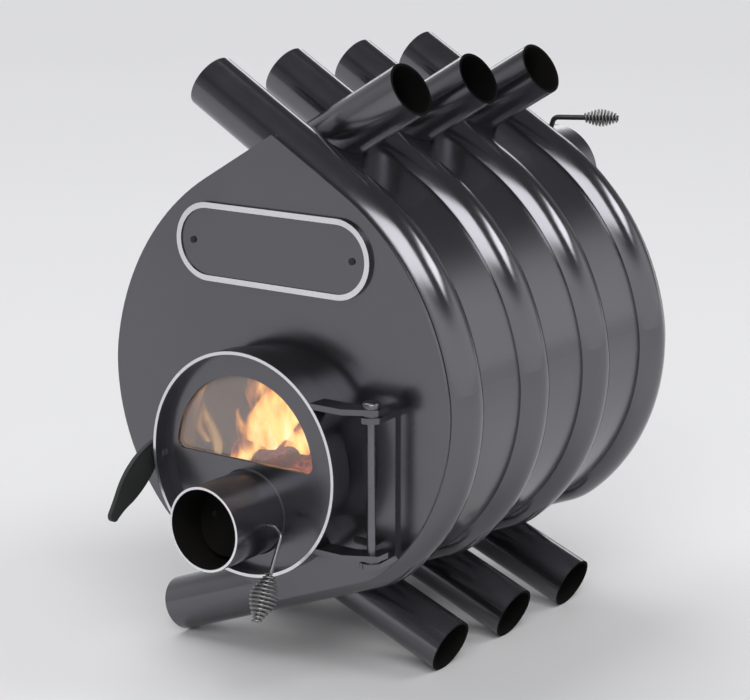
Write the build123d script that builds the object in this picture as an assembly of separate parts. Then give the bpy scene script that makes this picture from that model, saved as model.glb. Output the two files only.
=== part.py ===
from build123d import *
import math
import os

# Convection wood stove made of bent tubes, in millimetres.
# X runs across the stove, +Y runs from the door to the flue and +Z is up.
# The origin is on the floor, under the middle of the stove's whole length.

# Convection tubes: seven bent steel tubes lean alternately to the left and to the right
TUBE_COUNT = 7
TUBE_OD = 60.0
TUBE_WALL = 3.0
TUBE_GAP = 2.8
WAIST_HALF_WIDTH = 205.4
SHOULDER_RADIUS = 142.0
SHOULDER_TURN = 8.2
ROOF_RADIUS = 254.0
ROOF_SLOPE = 30.5
ROOF_RUN = 218.0
HIP_RADIUS = 211.5
HIP_TURN = 50.1
FOOT_RADIUS = 73.0
FOOT_SLOPE = 21.3
FOOT_RUN = 290.0

# Casing sheets between the tubes, and the end plates
CASING_OFFSET = 15.7
CASING_SHEET = 3.0
END_PLATE = 4.0
PLATE_SEAT = 0.1

# Door: a ring with a recessed disc that closes over a fixed collar
DOOR_DROP = 69.0
RING_OUTER_R = 120.4
RING_WALL = 3.4
RING_DEPTH = 27.0
RING_STAND_OFF = 56.9
DISC_RECESS = 15.0
DISC_THICKNESS = 4.0
DISC_CLEARANCE = 0.1
COLLAR_RING_GAP = 1.9
COLLAR_WALL = 4.0
ROPE_THICKNESS = 3.0
ROPE_CLEARANCE = 0.3
ROPE_WIDTH = 6.7
GUIDE_WALL = 2.0
GUIDE_DEPTH = 6.0

# Half-moon window in the door disc
WINDOW_MARGIN = 26.0
WINDOW_SILL = 9.0
WINDOW_SHIFT = 8.0
WINDOW_CORNER_R = 9.0
GLASS_OVERLAP = 5.5
GLASS_THICKNESS = 4.0
GASKET_THICKNESS = 1.0
CLIP_THICKNESS = 2.0
CLIP_WIDTH = 14.0
CLIP_FOOT = 10.0
CLIP_REACH = 5.0
CLIP_GAP = 0.3
CLIP_ANGLES = (12.0, 75.0)
CLIP_SCREW_R = 1.6
CLIP_SCREW_HEAD_R = 2.8
CLIP_SCREW_HEAD = 2.2
CLIP_HOLE_DEPTH = 3.0
SLOT_WIDTH = 0.8
SLOT_DEPTH = 1.1
SCREW_FIT = 0.05

# Air inlet tube on the door, with its throttle
AIR_INSET = 18.0
AIR_OUTER_R = 45.0
AIR_WALL = 2.6
AIR_REACH = 118.0
AIR_SHAFT_SETBACK = 50.0
WELD_BEAD = 1.5
DEFLECTOR_LAP = 5.0
DEFLECTOR_THICKNESS = 2.0
DEFLECTOR_GAP = 14.0
DEFLECTOR_STUD_R = 3.0

# Rods, flaps and coiled grips of both throttles
AIR_ROD_R = 2.3
FLUE_ROD_R = 3.1
ROD_BEND_R = 7.0
SHAFT_CLEARANCE = 0.08
FLAP_THICKNESS = 2.0
AIR_FLAP_CLEARANCE = 1.5
FLUE_FLAP_CLEARANCE = 3.0
FLAP_SCREW_R = 1.5
FLAP_SCREW_HEAD_R = 3.0
FLAP_SCREW_HEAD = 1.8
FLAP_SCREW_SPREAD = 22.0
FLAP_SCREW_DEPTH = 2.2
FLAP_SEAT = 0.02
STOP_RING_WALL = 2.9
STOP_RING_WIDTH = 3.0
STOP_RING_GAP = 0.6
ROD_STUB = 1.0
AIR_ROD_KNEE = 9.0
AIR_ROD_OUT = 19.5
AIR_ROD_DROP = 6.5
AIR_HANDLE_LEAN = 27.5
AIR_HANDLE_LENGTH = 92.0
AIR_FLAP_ANGLE = 22.0
AIR_GRIP_LENGTH = 52.0
AIR_GRIP_R = 13.2
AIR_GRIP_TURNS = 12
AIR_WIRE_R = 1.35
FLUE_GRIP_LENGTH = 42.0
FLUE_GRIP_R = 9.6
FLUE_GRIP_TURNS = 10
FLUE_WIRE_R = 1.15
GRIP_FIT = 0.3
GRIP_FULLNESS = 1.4
GRIP_SLOPE_STEP = 0.001
GAP_SAMPLES = 6

# Flue spigot at the back, with its throttle
FLUE_RISE = 160.7
FLUE_OUTER_R = 60.0
FLUE_WALL = 3.0
FLUE_ROOT_WALL = 4.0
FLUE_SOCKET_RUN = 39.0
FLUE_REACH = 117.2
FLUE_SHAFT_LEAN = 18.6
FLUE_ROD_RISE = 19.5
FLUE_FLAP_ANGLE = 30.0
FLUE_HANDLE_LENGTH = 77.0
FLUE_HANDLE_TURN = 28.8
BUSHING_R = 6.5
BUSHING_LENGTH = 4.0
BUSHING_SETBACK = 0.9

# Hinge: a fixed bracket with two lugs, a pin, and two straps on the door ring
PIN_R = 4.5
PIN_OUT = 30.6
PIN_STAND_OFF = 34.0
PIN_FIT = 0.05
STRAP_FIT = 0.08
LUG_THICKNESS = 6.0
STRAP_THICKNESS = 6.0
EYE_R = 12.0
UPPER_LUG_TOP = 72.0
LOWER_LUG_TOP = -80.5
HINGE_WASHER = 2.0
HINGE_WASHER_R = 9.0
HINGE_PLAY = 0.2
PIN_HEAD_R = 9.5
PIN_HEAD = 4.5
PIN_HEAD_DOME = 3.4
BRACKET_INSIDE = 17.0
BRACKET_OUTSIDE = 9.0
BRACKET_THICKNESS = 5.0
STOP_TAB_LENGTH = 18.0
STOP_TAB_HEIGHT = 6.5
STOP_TAB_RISE = 11.0
STOP_TAB_DEPTH = 14.0
STRAP_ROOT_LAP = 40.4
STRAP_ROOT_WIDTH = 25.0
STRAP_ROOT_SET = 0.8
STRAP_BEND_LEAD = 21.0
STRAP_END_LEAD = 4.5
STRAP_END_WIDTH = 17.0

# Latch: a leaf-shaped lever on the door ring, with a claw behind a fixed stud
LATCH_DROP = 9.0
LATCH_GAP = 8.0
LEVER_THICKNESS = 5.0
LEVER_HUB_R = 12.0
LATCH_BOSS_R = 9.0
LATCH_BOLT_R = 4.0
LATCH_BOLT_HEAD_R = 7.0
LATCH_BOLT_HEAD = 4.5
LATCH_BOLT_DOME = 2.2
LATCH_BOLT_SHORT = 0.5
LATCH_PLAY = 0.3
STUD_R = 4.0
STUD_REACH = 29.0
CLAW_CLEARANCE = 0.4
CLAW_WIDTH = 6.5
CLAW_TOP = 8.0
CLAW_BOTTOM = -76.0
CLAW_ARM_TURN = -66.0
CLAW_ARM_WIDTH = 10.4
KEEPER_THICKNESS = 5.0
KEEPER_NOSE_R = 8.6
KEEPER_HALF_HEIGHT = 14.0
KEEPER_GAP = 4.0
STUD_SHORT = 2.0
# Leaf of the lever as arcs through three points, in Y and height from its pivot
LEAF_ARCS = [
    ((-1, 12), (-34, -3), (-58, -29)),
    ((-58, -29), (-66, -43), (-72.5, -53)),
    ((-72.5, -53), (-72, -60), (-64, -62.5)),
    ((-64, -62.5), (-52, -54), (-40, -48.5)),
    ((-40, -48.5), (-14, -31), (4, -11)),
]

# Inside the firebox
BAFFLE_RISE = 118.0
BAFFLE_INSET = 77.4
BAFFLE_LENGTH = 300.0
BAFFLE_THICKNESS = 5.0
BAFFLE_CREASE = 14.0
LEDGE_WIDTH = 18.0
LEDGE_THICKNESS = 5.0
LEDGE_INSET = 4.0
SILL_RISE = 34.0
SILL_THICKNESS = 4.0
SILL_SETBACK = 6.0
INJECTOR_COUNT = 2
INJECTOR_OUTER_R = 9.0
INJECTOR_BORE_R = 6.0
INJECTOR_LENGTH = 26.0
INJECTOR_RISE = 40.0

# Blank nameplate on the front plate
BADGE_LENGTH = 254.0
BADGE_HEIGHT = 84.0
BADGE_RISE = 149.6
BADGE_THICKNESS = 3.0
BADGE_RIM = 6.0
BADGE_RIM_RISE = 1.6
BADGE_SCREW_INSET = 22.5
BADGE_SCREW_R = 2.0
BADGE_SCREW_HEAD_R = 3.6
BADGE_SCREW_HEAD = 1.4

# Places worked out from the sizes above
TUBE_R = TUBE_OD / 2
BAFFLE_HALF_WIDTH = WAIST_HALF_WIDTH - BAFFLE_INSET
TUBE_PITCH = TUBE_OD + TUBE_GAP
TUBE_BORE_R = TUBE_R - TUBE_WALL
UPPER_BENDS = [(SHOULDER_RADIUS, SHOULDER_TURN), (ROOF_RADIUS, 90.0 - ROOF_SLOPE)]
LOWER_BENDS = [(HIP_RADIUS, HIP_TURN), (FOOT_RADIUS, 90.0 - FOOT_SLOPE)]


def bend_arcs(bends, offset):
    """Arcs from the waist outwards as (start, middle, end), in X and height above the waist."""
    arcs = []
    centre_x = WAIST_HALF_WIDTH - bends[0][0]
    centre_z = 0.0
    start = 0.0
    previous = bends[0][0]
    for radius, finish in bends:
        centre_x += (previous - radius) * math.cos(math.radians(start))
        centre_z += (previous - radius) * math.sin(math.radians(start))
        reach = radius + offset
        turns = [math.radians(angle) for angle in (start, (start + finish) / 2, finish)]
        arcs.append([(centre_x + reach * math.cos(a), centre_z + reach * math.sin(a)) for a in turns])
        previous = radius
        start = finish
    return arcs


def straight_end(arcs, slope, run):
    """Far end of the straight run that leaves the last arc and drops or rises at the slope."""
    x, z = arcs[-1][-1]
    angle = math.radians(slope)
    return x - run * math.cos(angle), z + run * math.sin(angle)


UPPER_END = straight_end(bend_arcs(UPPER_BENDS, 0.0), ROOF_SLOPE, ROOF_RUN)
LOWER_END = straight_end(bend_arcs(LOWER_BENDS, 0.0), FOOT_SLOPE, FOOT_RUN)
WAIST_Z = LOWER_END[1] + TUBE_R * math.cos(math.radians(FOOT_SLOPE))
TUBE_SPAN = (TUBE_COUNT - 1) * TUBE_PITCH
PLATE_BACK = TUBE_R + PLATE_SEAT
AIR_FRONT = PLATE_BACK + END_PLATE + AIR_REACH
FLUE_BACK = TUBE_SPAN + PLATE_BACK + FLUE_REACH
FIRST_TUBE_Y = (AIR_FRONT - FLUE_BACK) / 2
FRONT_FACE_Y = FIRST_TUBE_Y - PLATE_BACK - END_PLATE
FRONT_BACK_Y = FIRST_TUBE_Y - PLATE_BACK
REAR_INNER_Y = FIRST_TUBE_Y + TUBE_SPAN + PLATE_BACK
REAR_FACE_Y = REAR_INNER_Y + END_PLATE
DOOR_Z = WAIST_Z - DOOR_DROP
FLUE_Z = WAIST_Z + FLUE_RISE
RIM_Y = FRONT_FACE_Y - RING_STAND_OFF
RING_BACK_Y = RIM_Y + RING_DEPTH
DISC_FRONT_Y = RIM_Y + DISC_RECESS
DISC_BACK_Y = DISC_FRONT_Y + DISC_THICKNESS
RING_INNER_R = RING_OUTER_R - RING_WALL
AIR_DROP = RING_INNER_R - AIR_INSET - AIR_OUTER_R
AIR_Z = DOOR_Z - AIR_DROP
WINDOW_R = RING_INNER_R - WINDOW_MARGIN
WINDOW_LEVEL = WINDOW_SILL + AIR_OUTER_R - AIR_DROP
COLLAR_OUTER_R = RING_INNER_R - COLLAR_RING_GAP
COLLAR_INNER_R = COLLAR_OUTER_R - COLLAR_WALL
COLLAR_FRONT_Y = DISC_BACK_Y + ROPE_THICKNESS + ROPE_CLEARANCE
ROPE_OUTER_R = RING_INNER_R - ROPE_CLEARANCE
GUIDE_OUTER_R = ROPE_OUTER_R - ROPE_WIDTH - ROPE_CLEARANCE
AIR_FRONT_Y = FIRST_TUBE_Y - AIR_FRONT
AIR_SHAFT_Y = AIR_FRONT_Y + AIR_SHAFT_SETBACK
AIR_BORE_R = AIR_OUTER_R - AIR_WALL
FLUE_END_Y = REAR_INNER_Y + FLUE_REACH
FLUE_SHOULDER_Y = FLUE_END_Y - FLUE_SOCKET_RUN
FLUE_SHAFT_Y = FLUE_SHOULDER_Y - BUSHING_SETBACK - BUSHING_R
FLUE_BORE_R = FLUE_OUTER_R - FLUE_WALL
FLUE_ROOT_R = FLUE_BORE_R + FLUE_ROOT_WALL
PIN_X = RING_OUTER_R + PIN_OUT
PIN_Y = FRONT_FACE_Y - PIN_STAND_OFF
BRACKET_LEFT = PIN_X - BRACKET_INSIDE
BRACKET_RIGHT = PIN_X + BRACKET_OUTSIDE
STRAP_ROOT_X = RING_OUTER_R - STRAP_ROOT_LAP


def tube_y(index):
    """Y of the axis of a tube, counted from 0 at the door."""
    return FIRST_TUBE_Y + index * TUBE_PITCH


def at_waist(x, z):
    """A point in the XZ plane, its height counted from the stove's widest level."""
    return Vector(x, 0, WAIST_Z + z)


def side_edges(offset, upper_stop, lower_stop):
    """Edges of one side's outline from its lower end to its upper end."""
    upper = bend_arcs(UPPER_BENDS, offset)
    lower = [[(x, -z) for x, z in arc] for arc in bend_arcs(LOWER_BENDS, offset)]
    edges = [Line(at_waist(*lower_stop), at_waist(*lower[-1][-1]))]
    for arc in reversed(lower):
        edges.append(ThreePointArc(*[at_waist(*point) for point in reversed(arc)]))
    for arc in upper:
        edges.append(ThreePointArc(*[at_waist(*point) for point in arc]))
    edges.append(Line(at_waist(*upper[-1][-1]), at_waist(*upper_stop)))
    return edges


def apex(bends, slope, offset, sign):
    """Where the straight part of an outline meets the middle plane."""
    x, z = bend_arcs(bends, offset)[-1][-1]
    return 0.0, sign * (z + x * math.tan(math.radians(slope)))


def to_apex_edges(offset):
    """One side's outline from the bottom apex to the top apex."""
    top = apex(UPPER_BENDS, ROOF_SLOPE, offset, 1)
    bottom = apex(LOWER_BENDS, FOOT_SLOPE, offset, -1)
    return side_edges(offset, top, bottom), at_waist(*top), at_waist(*bottom)


def solid_of(shape):
    """The largest solid of a shape, on its own."""
    return Solid(max(shape.solids(), key=lambda solid: solid.volume).wrapped)


def make_tube(section_r, bore_r, index):
    """One bent tube, or a bar of its outer size where the bore is 0."""
    lower_end = (LOWER_END[0], -LOWER_END[1])
    path = Wire(side_edges(0.0, UPPER_END, lower_end))
    section = Circle(section_r)
    if bore_r > 0:
        section -= Circle(bore_r)
    start = path @ 0
    plane = Plane(origin=start, x_dir=(0, 1, 0), z_dir=path % 0)
    tube = solid_of(sweep(plane * section, path=path))
    if index % 2:
        tube = mirror(tube, about=Plane.YZ)
    return Pos(0, tube_y(index), 0) * tube


def ring_y(outer_r, inner_r, x, z, front, back):
    """A tube along Y."""
    profile = Circle(outer_r) - Circle(inner_r)
    plane = Plane(origin=(x, back, z), x_dir=(1, 0, 0), z_dir=(0, -1, 0))
    return solid_of(extrude(plane * profile, back - front))


def disc_y(radius, x, z, front, back):
    """A round bar along Y."""
    plane = Plane(origin=(x, back, z), x_dir=(1, 0, 0), z_dir=(0, -1, 0))
    return solid_of(extrude(plane * Circle(radius), back - front))


def slab_y(sketch, x, z, front, back):
    """A flat sketch with X across and Z up, made solid between two Y planes."""
    plane = Plane(origin=(x, back, z), x_dir=(1, 0, 0), z_dir=(0, -1, 0))
    return solid_of(extrude(plane * sketch, back - front))


def slab_x(sketch, y, z, left, right):
    """A flat sketch with Y across and Z up, made solid between two X planes."""
    plane = Plane(origin=(left, y, z), x_dir=(0, 1, 0), z_dir=(1, 0, 0))
    return solid_of(extrude(plane * sketch, right - left))


def slab_z(sketch, bottom, top):
    """A flat sketch in X and Y, made solid between two heights."""
    return solid_of(extrude(Pos(0, 0, bottom) * sketch, top - bottom))


def rod_between(start, end, radius):
    """A round bar between two points."""
    axis = Vector(*end) - Vector(*start)
    return solid_of(extrude(Plane(origin=start, z_dir=axis) * Circle(radius), axis.length))


# Tubes and casing

def make_injector_cutter(index, radius, extra):
    """A bar along the line of one injector, which points level at the middle plane."""
    side = -1 if index % 2 else 1
    x = side * (WAIST_HALF_WIDTH - TUBE_BORE_R + extra)
    inner = side * (WAIST_HALF_WIDTH - TUBE_R - INJECTOR_LENGTH)
    z = WAIST_Z + INJECTOR_RISE
    return rod_between((x, tube_y(index), z), (inner, tube_y(index), z), radius)


def make_convection_tube(index):
    tube = make_tube(TUBE_R, TUBE_BORE_R, index)
    if index < INJECTOR_COUNT:
        tube = solid_of(tube - make_injector_cutter(index, INJECTOR_BORE_R, 0.0))
    return tube


def make_injectors():
    """Short nozzles that feed heated air from the first two tubes into the fire."""
    nozzles = []
    for index in range(INJECTOR_COUNT):
        bar = make_injector_cutter(index, INJECTOR_OUTER_R, -TUBE_WALL / 2)
        bar -= make_tube(TUBE_R, 0.0, index)
        bar -= make_injector_cutter(index, INJECTOR_BORE_R, TUBE_R)
        nozzles.append(solid_of(bar))
    return nozzles


def make_casing(first, last, side):
    """A sheet of the casing that runs from apex to apex and is cut to fit the tubes."""
    outer, top, bottom = to_apex_edges(CASING_OFFSET)
    inner, inner_top, inner_bottom = to_apex_edges(CASING_OFFSET - CASING_SHEET)
    outline = outer + inner + [Line(top, inner_top), Line(bottom, inner_bottom)]
    profile = Face(Wire.combine(outline)[0])
    start = FRONT_BACK_Y if first < 0 else tube_y(first)
    end = REAR_INNER_Y if last >= TUBE_COUNT else tube_y(last)
    sheet = solid_of(extrude(profile, amount=end - start, dir=(0, 1, 0)))
    sheet = Pos(0, start, 0) * sheet
    if side < 0:
        sheet = mirror(sheet, about=Plane.YZ)
    for index in range(max(first, 0), min(last, TUBE_COUNT - 1) + 1):
        sheet -= make_tube(TUBE_R, 0.0, index)
    return solid_of(sheet)


def make_end_plate(front, hole_r, hole_z):
    right, top, bottom = to_apex_edges(CASING_OFFSET)
    half = make_face([*right, Line(top, bottom)])
    plate = half + mirror(half, about=Plane.YZ)
    plate = extrude(plate.face(), amount=END_PLATE, dir=(0, 1, 0))
    plate = Pos(0, front, 0) * plate
    return solid_of(plate - disc_y(hole_r, 0, hole_z, front - END_PLATE, front + 2 * END_PLATE))


def make_baffle_ledges():
    """Two level bars between the end plates that carry the baffle."""
    top = WAIST_Z + BAFFLE_RISE - BAFFLE_THICKNESS / 2
    ledges = []
    for side in (-1, 1):
        x = side * (BAFFLE_HALF_WIDTH + LEDGE_INSET - LEDGE_WIDTH / 2)
        y = (FRONT_BACK_Y + REAR_INNER_Y) / 2
        bar = Box(LEDGE_WIDTH, REAR_INNER_Y - FRONT_BACK_Y, LEDGE_THICKNESS)
        ledges.append(Pos(x, y, top - LEDGE_THICKNESS / 2) * bar)
    return ledges


def make_baffle_plate():
    """A plate under the flue that sends the smoke forwards, stiffened by a shallow crease."""
    low = -BAFFLE_THICKNESS / 2
    high = BAFFLE_THICKNESS / 2
    points = [
        (-BAFFLE_HALF_WIDTH, low),
        (-BAFFLE_HALF_WIDTH + LEDGE_WIDTH, low),
        (0, low + BAFFLE_CREASE),
        (BAFFLE_HALF_WIDTH - LEDGE_WIDTH, low),
        (BAFFLE_HALF_WIDTH, low),
        (BAFFLE_HALF_WIDTH, high),
        (BAFFLE_HALF_WIDTH - LEDGE_WIDTH, high),
        (0, high + BAFFLE_CREASE),
        (-BAFFLE_HALF_WIDTH + LEDGE_WIDTH, high),
        (-BAFFLE_HALF_WIDTH, high),
    ]
    profile = make_face(Polyline(*points, close=True))
    return slab_y(profile, 0, WAIST_Z + BAFFLE_RISE, REAR_INNER_Y - BAFFLE_LENGTH, REAR_INNER_Y)


def make_door_collar():
    return ring_y(COLLAR_OUTER_R, COLLAR_INNER_R, 0, DOOR_Z, COLLAR_FRONT_Y, FRONT_BACK_Y)


def make_ember_sill():
    """A low plate across the bottom of the collar that keeps the embers in."""
    front = FRONT_BACK_Y - SILL_SETBACK - SILL_THICKNESS
    disc = Circle(COLLAR_INNER_R)
    width = 2 * COLLAR_INNER_R
    keep = Pos(0, -COLLAR_INNER_R + SILL_RISE / 2) * Rectangle(width, SILL_RISE)
    return slab_y(disc & keep, 0, DOOR_Z, front, front + SILL_THICKNESS)


# Door

def make_door_ring():
    ring = ring_y(RING_OUTER_R, RING_INNER_R, 0, DOOR_Z, RIM_Y, RING_BACK_Y)
    return solid_of(ring - make_latch_bolt_hole())


def window_outline(grow):
    """A half-moon with rounded corners, grown outwards by an overlap."""
    radius = WINDOW_R + grow
    below = Pos(0, WINDOW_LEVEL - grow - radius) * Rectangle(2 * radius, 2 * radius)
    moon = Circle(radius) - below
    corners = moon.vertices().sort_by(Axis.Y)[:2]
    moon = fillet(corners, WINDOW_CORNER_R + grow)
    return Pos(-WINDOW_SHIFT, 0) * moon


def make_door_disc():
    disc = Circle(RING_INNER_R - DISC_CLEARANCE) - window_outline(0.0)
    disc -= Pos(0, -AIR_DROP) * Circle(AIR_BORE_R)
    plate = slab_y(disc, 0, DOOR_Z, DISC_FRONT_Y, DISC_BACK_Y)
    for x, z, _ in clip_places():
        plate -= disc_y(CLIP_SCREW_R + SCREW_FIT, x, z, DISC_BACK_Y - CLIP_HOLE_DEPTH, DISC_BACK_Y)
    return solid_of(plate)


def make_glass_gasket():
    outline = window_outline(GLASS_OVERLAP) - window_outline(0.0)
    return slab_y(outline, 0, DOOR_Z, DISC_BACK_Y, DISC_BACK_Y + GASKET_THICKNESS)


def make_window_glass():
    front = DISC_BACK_Y + GASKET_THICKNESS
    return slab_y(window_outline(GLASS_OVERLAP), 0, DOOR_Z, front, front + GLASS_THICKNESS)


def clip_places():
    """Centre of each clip screw and the direction from it to the glass, in X and Z."""
    edge = WINDOW_R + GLASS_OVERLAP + CLIP_GAP + CLIP_FOOT / 2
    places = []
    for angle in CLIP_ANGLES:
        turn = math.radians(angle)
        x = -WINDOW_SHIFT + edge * math.cos(turn)
        places.append((x, DOOR_Z + edge * math.sin(turn), angle + 180.0))
    below = DOOR_Z + WINDOW_LEVEL - GLASS_OVERLAP - CLIP_GAP - CLIP_FOOT / 2
    for x in (-AIR_OUTER_R - CLIP_WIDTH, AIR_OUTER_R + CLIP_WIDTH / 2):
        places.append((x, below, 90.0))
    return places


def make_glass_clips():
    """Bent clips screwed to the back of the disc that hold the glass."""
    step = GASKET_THICKNESS + GLASS_THICKNESS + CLIP_GAP
    half = CLIP_FOOT / 2
    clips = []
    for x, z, angle in clip_places():
        profile = Polyline(
            (-half, 0),
            (half, 0),
            (half, step),
            (half + CLIP_REACH, step),
            (half + CLIP_REACH, step + CLIP_THICKNESS),
            (half - CLIP_THICKNESS, step + CLIP_THICKNESS),
            (half - CLIP_THICKNESS, CLIP_THICKNESS),
            (-half, CLIP_THICKNESS),
            close=True,
        )
        turn = math.radians(angle)
        along = Vector(math.cos(turn), 0, math.sin(turn))
        plane = Plane(origin=(x, DISC_BACK_Y, z), x_dir=along, z_dir=along.cross(Vector(0, 1, 0)))
        clip = extrude(plane * make_face(profile), CLIP_WIDTH / 2, both=True)
        clip -= disc_y(CLIP_SCREW_R + SCREW_FIT, x, z, DISC_BACK_Y, DISC_BACK_Y + CLIP_THICKNESS)
        clips.append(solid_of(clip))
    return clips


def make_glass_clip_screws():
    screws = []
    head_front = DISC_BACK_Y + CLIP_THICKNESS
    for x, z, _ in clip_places():
        shank = disc_y(CLIP_SCREW_R, x, z, DISC_BACK_Y - CLIP_HOLE_DEPTH + SCREW_FIT, head_front)
        head = disc_y(CLIP_SCREW_HEAD_R, x, z, head_front, head_front + CLIP_SCREW_HEAD)
        slot = Pos(x, head_front + CLIP_SCREW_HEAD, z) * Box(
            2 * CLIP_SCREW_HEAD_R, 2 * SLOT_DEPTH, SLOT_WIDTH
        )
        screws.append(solid_of(shank + head - slot))
    return screws


def make_rope_seal():
    """Flattened glass-fibre rope in the channel between the ring and its guide."""
    middle = (ROPE_OUTER_R + ROPE_OUTER_R - ROPE_WIDTH) / 2
    profile = Rectangle(ROPE_WIDTH, ROPE_THICKNESS)
    plane = Plane(
        origin=(middle, DISC_BACK_Y + ROPE_THICKNESS / 2, DOOR_Z), x_dir=(1, 0, 0), z_dir=(0, 0, 1)
    )
    return solid_of(revolve(plane * profile, Axis((0, 0, DOOR_Z), (0, 1, 0))))


def make_rope_guide():
    return ring_y(
        GUIDE_OUTER_R, GUIDE_OUTER_R - GUIDE_WALL, 0, DOOR_Z, DISC_BACK_Y, DISC_BACK_Y + GUIDE_DEPTH
    )


def make_air_inlet_tube():
    """The tube on the door that lets air in, with the weld bead at its root."""
    tube = ring_y(AIR_OUTER_R, AIR_BORE_R, 0, AIR_Z, AIR_FRONT_Y, DISC_FRONT_Y)
    bead = make_face(Polyline(
        (AIR_OUTER_R - AIR_WALL / 2, DISC_FRONT_Y),
        (AIR_OUTER_R + WELD_BEAD, DISC_FRONT_Y),
        (AIR_OUTER_R, DISC_FRONT_Y - WELD_BEAD),
        (AIR_OUTER_R - AIR_WALL / 2, DISC_FRONT_Y - WELD_BEAD),
        close=True,
    ))
    bead = revolve(Pos(0, 0, AIR_Z) * bead, Axis((0, 0, AIR_Z), (0, 1, 0)))
    tube += bead
    reach = AIR_OUTER_R + AIR_WALL
    hole = rod_between(air_axis_point(-reach), air_axis_point(reach), AIR_ROD_R + SHAFT_CLEARANCE)
    return solid_of(tube - hole)


def make_air_deflector():
    """A plate on two studs that spreads the air behind the inlet."""
    front = DISC_BACK_Y + DEFLECTOR_GAP
    plate = disc_y(AIR_OUTER_R + DEFLECTOR_LAP, 0, AIR_Z, front, front + DEFLECTOR_THICKNESS)
    for side in (-1, 1):
        x = side * (AIR_BORE_R + DEFLECTOR_STUD_R)
        plate += disc_y(DEFLECTOR_STUD_R, x, AIR_Z, DISC_BACK_Y, front)
    return solid_of(plate)


# Hinge

def eye_shape():
    return Pos(PIN_X, PIN_Y) * Circle(EYE_R)


def make_hinge_bracket():
    """One bent bracket: a flange on the front plate and a lug at each end."""
    plan = make_face(Polyline(
        (BRACKET_LEFT, FRONT_FACE_Y),
        (BRACKET_RIGHT, FRONT_FACE_Y),
        (PIN_X + EYE_R, PIN_Y),
        (PIN_X - EYE_R, PIN_Y),
        close=True,
    )) + eye_shape()
    plan -= Pos(PIN_X, PIN_Y) * Circle(PIN_R + PIN_FIT)
    bracket = Pos(
        (BRACKET_LEFT + BRACKET_RIGHT) / 2,
        FRONT_FACE_Y - BRACKET_THICKNESS / 2,
        DOOR_Z + (UPPER_LUG_TOP + LOWER_LUG_TOP - LUG_THICKNESS) / 2,
    ) * Box(
        BRACKET_RIGHT - BRACKET_LEFT, BRACKET_THICKNESS, UPPER_LUG_TOP - LOWER_LUG_TOP + LUG_THICKNESS
    )
    for top in (UPPER_LUG_TOP, LOWER_LUG_TOP):
        bracket += slab_z(plan, DOOR_Z + top - LUG_THICKNESS, DOOR_Z + top)
    tab = Box(STOP_TAB_LENGTH + BRACKET_THICKNESS, BRACKET_THICKNESS, STOP_TAB_HEIGHT)
    tab_z = DOOR_Z + LOWER_LUG_TOP + STOP_TAB_RISE
    tab_x = BRACKET_LEFT - (STOP_TAB_LENGTH - BRACKET_THICKNESS) / 2
    bracket += Pos(tab_x, FRONT_FACE_Y - STOP_TAB_DEPTH, tab_z) * tab
    neck = Box(BRACKET_THICKNESS, STOP_TAB_DEPTH, STOP_TAB_HEIGHT)
    neck_x = BRACKET_LEFT + BRACKET_THICKNESS / 2
    bracket += Pos(neck_x, FRONT_FACE_Y - STOP_TAB_DEPTH / 2, tab_z) * neck
    return solid_of(bracket)


def strap_bottom(lug_top):
    return DOOR_Z + lug_top + HINGE_WASHER + HINGE_PLAY


def make_hinge_strap(lug_top):
    """A flat bar that runs level off the door ring, then bends back to a square end on the pin."""
    front_root = RIM_Y + STRAP_ROOT_SET
    back_root = front_root + STRAP_ROOT_WIDTH
    end_x = PIN_X + EYE_R
    end_front = PIN_Y - STRAP_END_LEAD
    end_back = end_front + STRAP_END_WIDTH
    bend_x = PIN_X - STRAP_BEND_LEAD
    plan = make_face(Polyline(
        (STRAP_ROOT_X, front_root),
        (bend_x, front_root),
        (end_x, end_front),
        (end_x, end_back),
        (PIN_X, end_back),
        (bend_x, back_root),
        (STRAP_ROOT_X, back_root),
        close=True,
    ))
    plan -= Pos(PIN_X, PIN_Y) * Circle(PIN_R + STRAP_FIT)
    bottom = strap_bottom(lug_top)
    strap = slab_z(plan, bottom, bottom + STRAP_THICKNESS)
    return solid_of(strap - disc_y(RING_OUTER_R, 0, DOOR_Z, RIM_Y - RING_DEPTH, FRONT_FACE_Y))


def pin_head_bottom():
    return strap_bottom(UPPER_LUG_TOP) + STRAP_THICKNESS + HINGE_PLAY + HINGE_WASHER


def make_hinge_pin():
    """A long pin with a low domed head, through both lugs and both straps."""
    head_bottom = pin_head_bottom()
    tip = DOOR_Z + LOWER_LUG_TOP - LUG_THICKNESS
    pin = Pos(PIN_X, PIN_Y, 0) * slab_z(Circle(PIN_R), tip, head_bottom)
    head = Pos(PIN_X, PIN_Y, 0) * slab_z(Circle(PIN_HEAD_R), head_bottom, head_bottom + PIN_HEAD)
    head = fillet(head.edges().group_by(Axis.Z)[-1], PIN_HEAD_DOME)
    return solid_of(pin + head)


def make_hinge_washers():
    washer = Circle(HINGE_WASHER_R) - Circle(PIN_R + PIN_FIT)
    levels = [
        DOOR_Z + UPPER_LUG_TOP,
        DOOR_Z + LOWER_LUG_TOP,
        pin_head_bottom() - HINGE_WASHER,
    ]
    return [Pos(PIN_X, PIN_Y, 0) * slab_z(washer, level, level + HINGE_WASHER) for level in levels]


# Latch

def latch_z():
    return DOOR_Z - LATCH_DROP


def latch_y():
    return (RIM_Y + RING_BACK_Y) / 2


def lever_right():
    return -RING_OUTER_R - LATCH_GAP - LATCH_PLAY


def make_latch_bolt_hole():
    z = latch_z()
    left = (-RING_OUTER_R - RING_WALL, latch_y(), z)
    right = (-RING_OUTER_R + 2 * RING_WALL, latch_y(), z)
    return rod_between(left, right, LATCH_BOLT_R + PIN_FIT)


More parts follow.
